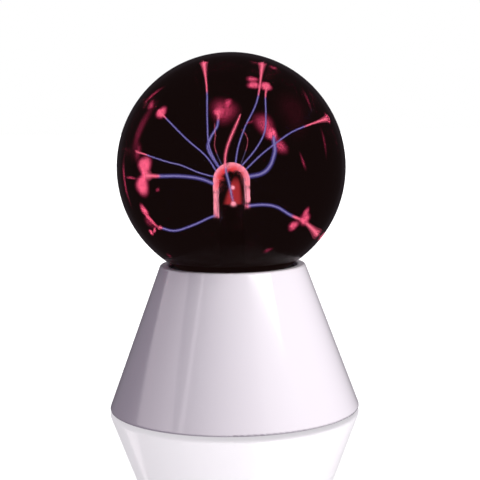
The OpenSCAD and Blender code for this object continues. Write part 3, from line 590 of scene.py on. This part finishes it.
def skin_mesh(name, skins, material, **attributes):
    """Skins through rings of points, with one value of each attribute for each point."""
    points, faces = [], []
    for rows in skins:
        width = len(rows[0])
        for r in range(len(rows) - 1):
            for c in range(width):
                low = len(points) + r * width
                n = (c + 1) % width
                faces.append((low + c, low + n, low + width + n, low + width + c))
        points += [p for row in rows for p in row]
    mesh = bpy.data.meshes.new(name)
    mesh.from_pydata(points, [], faces)
    for attribute, values in attributes.items():
        layer = mesh.attributes.new(attribute, "FLOAT", "POINT")
        layer.data.foreach_set("value", values)
    mesh.materials.append(material)
    return mesh


def glow(name, low, high, strength, opacity):
    """Glowing gas: its pink attribute takes it from low to high, its clear attribute makes it solid."""
    finish = Finish(name)
    warm = finish.attribute("pink")
    veiled = (finish.attribute("clear") * opacity).clamped()
    finish.material.cycles.emission_sampling = "NONE"
    return finish.principled(
        Base_Color=(0.0, 0.0, 0.0),
        Roughness=1.0,
        Specular_IOR_Level=0.0,
        Emission_Color=finish.mixed(warm, low, high),
        Emission_Strength=strength,
        Alpha=veiled,
    )


# ---------------------------------------------------------------- settings

class PlasmaFinish(bpy.types.PropertyGroup):
    glass_tint: bpy.props.FloatVectorProperty(
        name="Glass tint", description="Share of light that one wall of the globe lets through",
        subtype="COLOR", default=(0.1, 0.1, 0.1), min=0.0, max=1.0)
    glass_ior: bpy.props.FloatProperty(
        name="Glass IOR", description="How strongly the globe bends and mirrors light",
        default=1.08, min=1.0, max=2.0)
    shell_colour: bpy.props.FloatVectorProperty(
        name="Base colour", description="Colour of the polished base",
        subtype="COLOR", default=(0.86, 0.83, 0.885), min=0.0, max=1.0)


class PlasmaDischarge(bpy.types.PropertyGroup):
    glass_wall: bpy.props.FloatProperty(
        name="Glass wall", description="Thickness of the globe's wall", default=2 * MM, unit="LENGTH")
    gap: bpy.props.FloatProperty(
        name="Gap", description="Distance of the glow from the glass", default=0.3 * MM, unit="LENGTH")
    brightness: bpy.props.FloatProperty(
        name="Brightness", description="Brightness of the discharge behind the tinted glass",
        default=12.0, min=0.0)
    cool: bpy.props.FloatVectorProperty(
        name="Filament colour", description="Colour of a filament along its length",
        subtype="COLOR", default=(0.27, 0.24, 0.41), min=0.0, max=1.0)
    warm: bpy.props.FloatVectorProperty(
        name="Flare colour", description="Colour where a filament meets the glass or the electrode",
        subtype="COLOR", default=(0.94, 0.12, 0.23), min=0.0, max=1.0)
    sheath: bpy.props.FloatProperty(
        name="Glow layer", description="Thickness of the glow round the electrode",
        default=2 * MM, unit="LENGTH")


class PlasmaStage(bpy.types.PropertyGroup):
    distance: bpy.props.FloatProperty(
        name="Distance", description="Level distance of the camera from the ball's axis",
        default=0.755, unit="LENGTH")
    height: bpy.props.FloatProperty(
        name="Height", description="Height of the camera over the table", default=0.184, unit="LENGTH")
    shift: bpy.props.FloatProperty(
        name="Sideways", description="How far the camera stands to the right",
        default=0.0043, unit="LENGTH")
    pitch: bpy.props.FloatProperty(
        name="Pitch", description="Angle at which the camera looks down",
        default=math.radians(6.7), unit="ROTATION")
    roll: bpy.props.FloatProperty(
        name="Roll", description="Lean of the camera", default=math.radians(-0.8), unit="ROTATION")
    lens: bpy.props.FloatProperty(name="Lens", description="Focal length in mm", default=102.0)


# ---------------------------------------------------------------- operators

class PLASMA_OT_finishes(bpy.types.Operator):
    """Make one material for each finish of the solid pieces"""
    bl_idname = "plasma.finishes"
    bl_label = "Finishes"

    def execute(self, context):
        context.scene["plasma_finishes"] = {slot: m.name for slot, m in slot_finishes().items()}
        return {"FINISHED"}


class PLASMA_OT_globe(bpy.types.Operator):
    """Dress the globe, the electrode and what seals them"""
    bl_idname = "plasma.globe"
    bl_label = "Globe and electrode"

    def execute(self, context):
        dress(GLOBE_NODES)
        return {"FINISHED"}


class PLASMA_OT_base(bpy.types.Operator):
    """Dress the base, its feet and the pieces at its rear"""
    bl_idname = "plasma.base"
    bl_label = "Base"

    def execute(self, context):
        dress(BASE_NODES)
        return {"FINISHED"}


class PLASMA_OT_driver(bpy.types.Operator):
    """Dress the driver board, its parts and the leads"""
    bl_idname = "plasma.driver"
    bl_label = "Driver"

    def execute(self, context):
        dress([node for node in frame["nodes"] if node not in GLOBE_NODES + BASE_NODES])
        return {"FINISHED"}


CORE_SIDES = 10
CORE_SPREAD = 0.72  # a core's radius as a share of the filament's
SHEATH_SIDES = 12
SHEATHS = (("filament_haze", 1.5, 0.4), ("filament_halo", 2.4, 0.14))  # name, spread and opacity


class PLASMA_OT_filaments(bpy.types.Operator):
    """Draw the filaments from the electrode to the glass"""
    bl_idname = "plasma.filaments"
    bl_label = "Filaments"

    def execute(self, context):
        given = context.scene.plasma_discharge
        glass_r = GLOBE_R - given.glass_wall - given.gap
        routes = []
        for f in FILAMENTS:
            points = filament_route(f, glass_r)
            whole = points[0][1]
            profiles = [filament_profile(f, left, whole) for _, left in points]
            pairs = zip(points, profiles)
            routes.append([(p, r * MM, pink, solid) for (p, _), (r, pink, solid) in pairs])
        flare = [c + 0.08 for c in given.warm]
        core = glow("filament_core", given.cool, flare, given.brightness, 0.9)
        sweep_tubes("filament_cores", line_mesh("cores", routes), core, CORE_SIDES, CORE_SPREAD)
        cool_edge = [c * share for c, share in zip(given.cool, (0.26, 0.24, 0.62))]
        warm_edge = [c * 0.62 for c in given.warm]
        for name, spread, opacity in SHEATHS:
            haze = glow(name, cool_edge, warm_edge, given.brightness, opacity)
            sweep_tubes(name, line_mesh(name, routes), haze, SHEATH_SIDES, spread)
        return {"FINISHED"}


CLOUD_SKINS = 6  # nested skins of one cloud
CLOUD_RINGS = 8  # steps from pole to pole of a skin
CLOUD_SIDES = 20


class PLASMA_OT_pools(bpy.types.Operator):
    """Spread the glow over the glass where the filaments meet it, and painted reflections of the
    filaments along the globe's edges
    """
    bl_idname = "plasma.pools"
    bl_label = "Glow on the glass"

    def execute(self, context):
        given = context.scene.plasma_discharge
        glass_r = GLOBE_R - given.glass_wall - given.gap
        dark = [c * share for c, share in zip(given.warm, (0.45, 0.15, 0.35))]
        material = glow("glow_and_painted_reflections_on_glass", dark, given.warm, given.brightness, 1.0)
        skins, heat, veil = [], [], []
        for pool in POOLS:
            for layer in range(CLOUD_SKINS):
                rows = self.cloud(pool, glass_r, 1.2 - 0.16 * layer)
                count = sum(len(row) for row in rows)
                skins.append(rows)
                heat += [min(1.0, pool.level * layer / 3)] * count
                veil += [pool.level * 0.5 * ((layer + 1) / CLOUD_SKINS) ** 1.5] * count
        mesh = skin_mesh("glow_and_painted_reflections_on_glass", skins, material, pink=heat, clear=veil)
        finished_piece("glow_and_painted_reflections_on_glass", mesh)
        return {"FINISHED"}

    def cloud(self, pool, glass_r, share):
        """Rings of points of one closed skin of a cloud that lies against the glass."""
        middle = direction(pool.bearing, pool.elevation)
        right = UP.cross(middle).normalized()
        up = middle.cross(right)
        lean = math.radians(pool.lean)
        along = up * math.cos(lean) + right * math.sin(lean)
        across = right * math.cos(lean) - up * math.sin(lean)
        depth = max(0.7, 0.45 * pool.wide)
        rows = []
        for ring in range(CLOUD_RINGS + 1):
            polar = math.pi * ring / CLOUD_RINGS
            row = []
            for side in range(CLOUD_SIDES):
                turn = 2 * math.pi * side / CLOUD_SIDES
                waver = 1 + 0.08 * math.sin(3 * turn + pool.bearing)
                reach = share * math.sin(polar) * waver
                away = along * math.cos(turn) * pool.long + across * math.sin(turn) * pool.wide
                sink = 0.3 + depth * (1.25 - share * math.cos(polar))
                radius = glass_r - sink * MM
                row.append(CENTRE + (middle * radius + away * MM * reach).normalized() * radius)
            rows.append(row)
        return rows


ARCH_EDGE = (0.62, 0.04, 0.05)
ARCH_HEART = (1.0, 0.3, 0.39)
ARCH_OPACITY = 0.66
ARCH_LAYERS = (0.2, 0.55, 0.9)  # heights of its skins as shares of the glow layer
ARCH_SIDES = 144
DOME_STEP = 3  # degrees between the rows over the dome
DOME_ROWS = 30
TUBE_STEP = 0.4  # mm between the rows down the tube
TUBE_ROWS = 61


class PLASMA_OT_electrode_glow(bpy.types.Operator):
    """Lay the glow round the electrode's dome"""
    bl_idname = "plasma.electrode_glow"
    bl_label = "Electrode glow"

    def execute(self, context):
        given = context.scene.plasma_discharge
        material = glow("electrode_glow", ARCH_EDGE, ARCH_HEART, given.brightness, ARCH_OPACITY)
        layers = [self.skin(given.sheath * share) for share in ARCH_LAYERS]
        skins = [rows for rows, _ in layers]
        levels = [level for _, values in layers for level, _ in values]
        heat = [hot for _, values in layers for _, hot in values]
        mesh = skin_mesh("electrode_glow", skins, material, pink=heat, clear=levels)
        finished_piece("electrode_glow", mesh)
        return {"FINISHED"}

    def skin(self, lift):
        """Rows of points over the dome and down the tube, and the level and heat of the glow at each."""
        heights = [STEM_R / MM * math.sin(math.radians(90 - DOME_STEP * i)) for i in range(DOME_ROWS)]
        heights += [-TUBE_STEP * i for i in range(TUBE_ROWS)]
        bearings = [360 * side / ARCH_SIDES for side in range(ARCH_SIDES)]
        rows, values = [], []
        for height in heights:
            rows.append([on_electrode(b, height, lift) for b in bearings])
            values += [self.glowing(b, height) for b in bearings]
        return rows, values

    def glowing(self, bearing, height):
        """Level and heat of the glow at a bearing and a height in mm over the dome's centre."""
        rise = math.asin(max(0.0, min(height * MM / STEM_R, 1.0)))
        out = direction(bearing, math.degrees(rise))
        aside = math.degrees(math.acos(max(-1.0, min(-out.y, 1.0))))
        broad_lumps = noise.noise(out * 2.4 + UP * height * 0.16)
        small_lumps = noise.noise(out * 6 + UP * height * 0.4)
        lumps = broad_lumps + 0.5 * small_lumps
        arch = self.arch(out, aside, height, lumps)
        # a dim patch at the front that widens downwards, and a bright spot in it
        down = max(0.0, min((3 - height) / 15, 1.0))
        across = abs(bearing - 286 + 11 * down) / (4 + 28 * down ** 0.6)
        patch = 0.3 * smooth(1.2, 0.5, across) * smooth(3.5, -2, height) * smooth(-12.8, -11.5, height)
        spot = 1.5 * fading((bearing - 274) / 6, (height + 3.0) / 0.9)
        level, hot = max((arch, smooth(44, 84, aside)), (patch, 0.0), (spot, 1.0))
        # a small hot dot under the root of each filament
        for f in FILAMENTS:
            turn = (bearing - f.root[0] + 180) % 360 - 180
            away = math.hypot(math.radians(turn) * STEM_R / MM, height - f.root[1])
            dot = min(1.2, f.level * 3) * fading(away / 1.1)
            level, hot = max((level, hot), (dot, 1.0))
        return level, hot

    def arch(self, out, aside, height, lumps):
        """Level of the arch over the dome, with a leg down each side. It fades towards the rear."""
        left = smooth(0.3, -0.3, out.x)
        leg_top = -3 * left
        leg = smooth(leg_top, leg_top - 5, height)
        edge = 46 - 18 * left * smooth(-6, -1, height) + 44 * leg
        foot = -13 - 6 * left + 3 * lumps
        arch = smooth(edge, edge + 28 - 13 * leg, aside + lumps * (20 - 8 * leg))
        arch *= smooth(foot - 1.2, foot + 1.2, height)
        arch *= 1 - 0.8 * smooth(118, 150, aside + lumps * 30)
        arch *= 1 - leg * smooth(106, 132, aside + lumps * 10)
        notch = fading((out.x + 0.2) / 0.14) * smooth(0.55, 0.9, out.z) * smooth(0.5, -0.2, out.y)
        waist = fading((height + 3.6 + 2.7 * left) / 1.1) * smooth(130, 100, aside)
        return arch * (1 + 0.5 * leg) * (1 - 0.95 * notch) * (1 - 0.85 * waist) * (0.85 + 0.6 * lumps)


# Lamps on the pieces: place and aim in metres, size in metres, power in watts, colour, turn in degrees,
# and the kind of ray that doesn't meet it
Lamp = namedtuple("Lamp", "name place aim size power colour turn hidden_from")
LAMPS = (
    Lamp("key", (0.76, -0.62, 0.58), (0, 0, 0.04), (0.9, 0.9), 14, (1, 0.99, 0.965), 0, "glossy"),
    Lamp("rear", (-0.2, 1.0, 0.5), (0, 0, 0.05), (0.8, 0.8), 9, (0.98, 0.98, 1), 0, "glossy"),
    Lamp("highlight", (0.58, -0.52, 0.71), (0, 0, 0.07), (0.58, 0.43), 6.4, (1, 1, 1), -20, "diffuse"),
    Lamp("strip", (-0.62, -0.55, 0.46), (0, 0, 0.05), (0.07, 0.7), 0.22, (1, 0.93, 0.96), -4, "diffuse"),
    Lamp("panel", (-1.2, 0.12, 0.48), (0, 0, 0.05), (1.8, 0.5), 3.8, (1, 0.91, 0.95), -12, "diffuse"),
)
# The room round the floor, in metres, and the power in watts of its lit walls and ceiling
ROOM_HALF = 4.0
ROOM_HEIGHT = 2.4
WALL_POWER = 76
CEILING_POWER = 253
DIM_ROOM = (0.05, 0.045, 0.055, 1)
DIFFUSE_ROOM = (0.295, 0.258, 0.305, 1)
WHITE = (1, 1, 1, 1)
SKINS_PASSED = 128  # most clear skins that one ray may pass
SENSOR_MM = 36.0
CAMERA_REACH = 100.0


class PLASMA_OT_stage(bpy.types.Operator):
    """Set up the floor, the lights and the camera"""
    bl_idname = "plasma.stage"
    bl_label = "Stage"

    def execute(self, context):
        scene = context.scene
        given = scene.plasma_stage
        scene.view_settings.view_transform = "Standard"
        scene.cycles.transparent_max_bounces = SKINS_PASSED
        floor = self.floor()
        self.world(scene)
        lit = self.group("lit_pieces", [o for n, o in frame["nodes"].items() if n != "globe_glass"])
        alone = self.group("floor_only", [floor])
        for lamp in LAMPS:
            self.softbox(lamp, lit)
        middle = ROOM_HEIGHT / 2
        wall_size = (2 * ROOM_HALF, ROOM_HEIGHT)
        for side in range(4):
            place = Matrix.Rotation(side * math.pi / 2, 3, "Z") @ Vector((0, ROOM_HALF, middle))
            wall = Lamp("wall", place, (0, 0, middle), wall_size, WALL_POWER, WHITE[:3], 0, "diffuse")
            self.softbox(wall, alone)
        above = (0, 0, ROOM_HEIGHT)
        ceiling_size = (2 * ROOM_HALF, 2 * ROOM_HALF)
        ceiling = Lamp("ceiling", above, (0, 0, 0), ceiling_size, CEILING_POWER, WHITE[:3], 0, "diffuse")
        self.softbox(ceiling, alone)
        self.camera(scene, given)
        return {"FINISHED"}

    def group(self, name, objects):
        """A collection that only says what a light falls on."""
        collection = bpy.data.collections.new(name)
        for o in objects:
            collection.objects.link(o)
        return collection

    def floor(self):
        """A level white sheet under the feet, seen by the camera only."""
        mesh = bpy.data.meshes.new("floor")
        signs = ((-1, -1), (1, -1), (1, 1), (-1, 1))
        corners = [(x * ROOM_HALF, y * ROOM_HALF, FOOT_Z) for x, y in signs]
        mesh.from_pydata(corners, [], [(0, 1, 2, 3)])
        floor = bpy.data.objects.new("floor", mesh)
        bpy.context.scene.collection.objects.link(floor)
        mesh.materials.append(Finish("floor").principled(
            Base_Color=(0.9, 0.9, 0.9), Metallic=0.4, Roughness=0.04,
            Emission_Color=(1, 1, 1), Emission_Strength=0.48,
        ))
        floor.visible_transmission = floor.visible_glossy = floor.visible_diffuse = False
        return floor

    def world(self, scene):
        """A white backdrop in a dim room."""
        world = bpy.data.worlds.new("studio")
        world.use_nodes = True
        tree = world.node_tree
        tree.nodes.clear()
        seen = add_node(tree, "ShaderNodeLightPath", output="Is Camera Ray")
        spread = add_node(tree, "ShaderNodeLightPath", output="Is Diffuse Ray")
        mix = {"data_type": "RGBA"}
        fill = {0: spread, 6: DIM_ROOM, 7: DIFFUSE_ROOM}
        room = add_node(tree, "ShaderNodeMix", mix, fill, output=2)
        colour = add_node(tree, "ShaderNodeMix", mix, {0: seen, 6: room, 7: WHITE}, output=2)
        background = add_node(tree, "ShaderNodeBackground", inputs={"Color": colour, "Strength": 1.0})
        add_node(tree, "ShaderNodeOutputWorld", inputs={"Surface": background})
        scene.world = world

    def softbox(self, lamp, receivers):
        """An area light that falls only on the objects of one collection, unseen by the camera."""
        light = bpy.data.lights.new(lamp.name, "AREA")
        light.shape = "RECTANGLE"
        light.size, light.size_y = lamp.size
        light.energy = lamp.power
        light.color = lamp.colour
        box = bpy.data.objects.new(lamp.name, light)
        aim = (Vector(lamp.aim) - Vector(lamp.place)).to_track_quat("-Z", "Y")
        turned = aim.to_matrix().to_4x4() @ Matrix.Rotation(math.radians(lamp.turn), 4, "Z")
        box.matrix_world = Matrix.Translation(lamp.place) @ turned
        box.visible_camera = False
        box.visible_transmission = False
        box.light_linking.receiver_collection = receivers
        bpy.context.scene.collection.objects.link(box)
        setattr(box, "visible_" + lamp.hidden_from, False)

    def camera(self, scene, given):
        data = bpy.data.cameras.new("camera")
        data.lens = given.lens
        data.sensor_width = SENSOR_MM
        data.clip_end = CAMERA_REACH
        camera = bpy.data.objects.new("camera", data)
        place = Matrix.Translation((given.shift, -given.distance, given.height))
        turn = Matrix.Rotation(math.pi / 2 - given.pitch, 4, "X") @ Matrix.Rotation(given.roll, 4, "Z")
        camera.matrix_world = place @ turn
        scene.collection.objects.link(camera)
        scene.camera = camera


class PLASMA_PT_panel(bpy.types.Panel):
    """Steps and sizes of the plasma ball"""
    bl_idname = "PLASMA_PT_panel"
    bl_label = "Plasma Ball"
    bl_space_type = "VIEW_3D"
    bl_region_type = "UI"
    bl_category = "Plasma Ball"

    def draw(self, context):
        for group in GROUPS:
            settings = getattr(context.scene, group)
            for name in settings.__annotations__:
                self.layout.prop(settings, name)
        for operator in STEPS:
            self.layout.operator(operator.bl_idname)


GROUPS = {"plasma_finish": PlasmaFinish, "plasma_discharge": PlasmaDischarge, "plasma_stage": PlasmaStage}
STEPS = (
    PLASMA_OT_stage, PLASMA_OT_finishes, PLASMA_OT_globe, PLASMA_OT_base, PLASMA_OT_driver,
    PLASMA_OT_filaments, PLASMA_OT_pools, PLASMA_OT_electrode_glow,
)


def register():
    for group in GROUPS.values():
        bpy.utils.register_class(group)
    for step in STEPS:
        bpy.utils.register_class(step)
    bpy.utils.register_class(PLASMA_PT_panel)
    for name, group in GROUPS.items():
        setattr(bpy.types.Scene, name, bpy.props.PointerProperty(type=group))


def unregister():
    for name in GROUPS:
        delattr(bpy.types.Scene, name)
    bpy.utils.unregister_class(PLASMA_PT_panel)
    for step in reversed(STEPS):
        bpy.utils.unregister_class(step)
    for group in reversed(GROUPS.values()):
        bpy.utils.unregister_class(group)


def main():
    register()
    for step in STEPS:
        module, name = step.bl_idname.split(".")
        getattr(getattr(bpy.ops, module), name)()


if __name__ == "__main__":
    main()
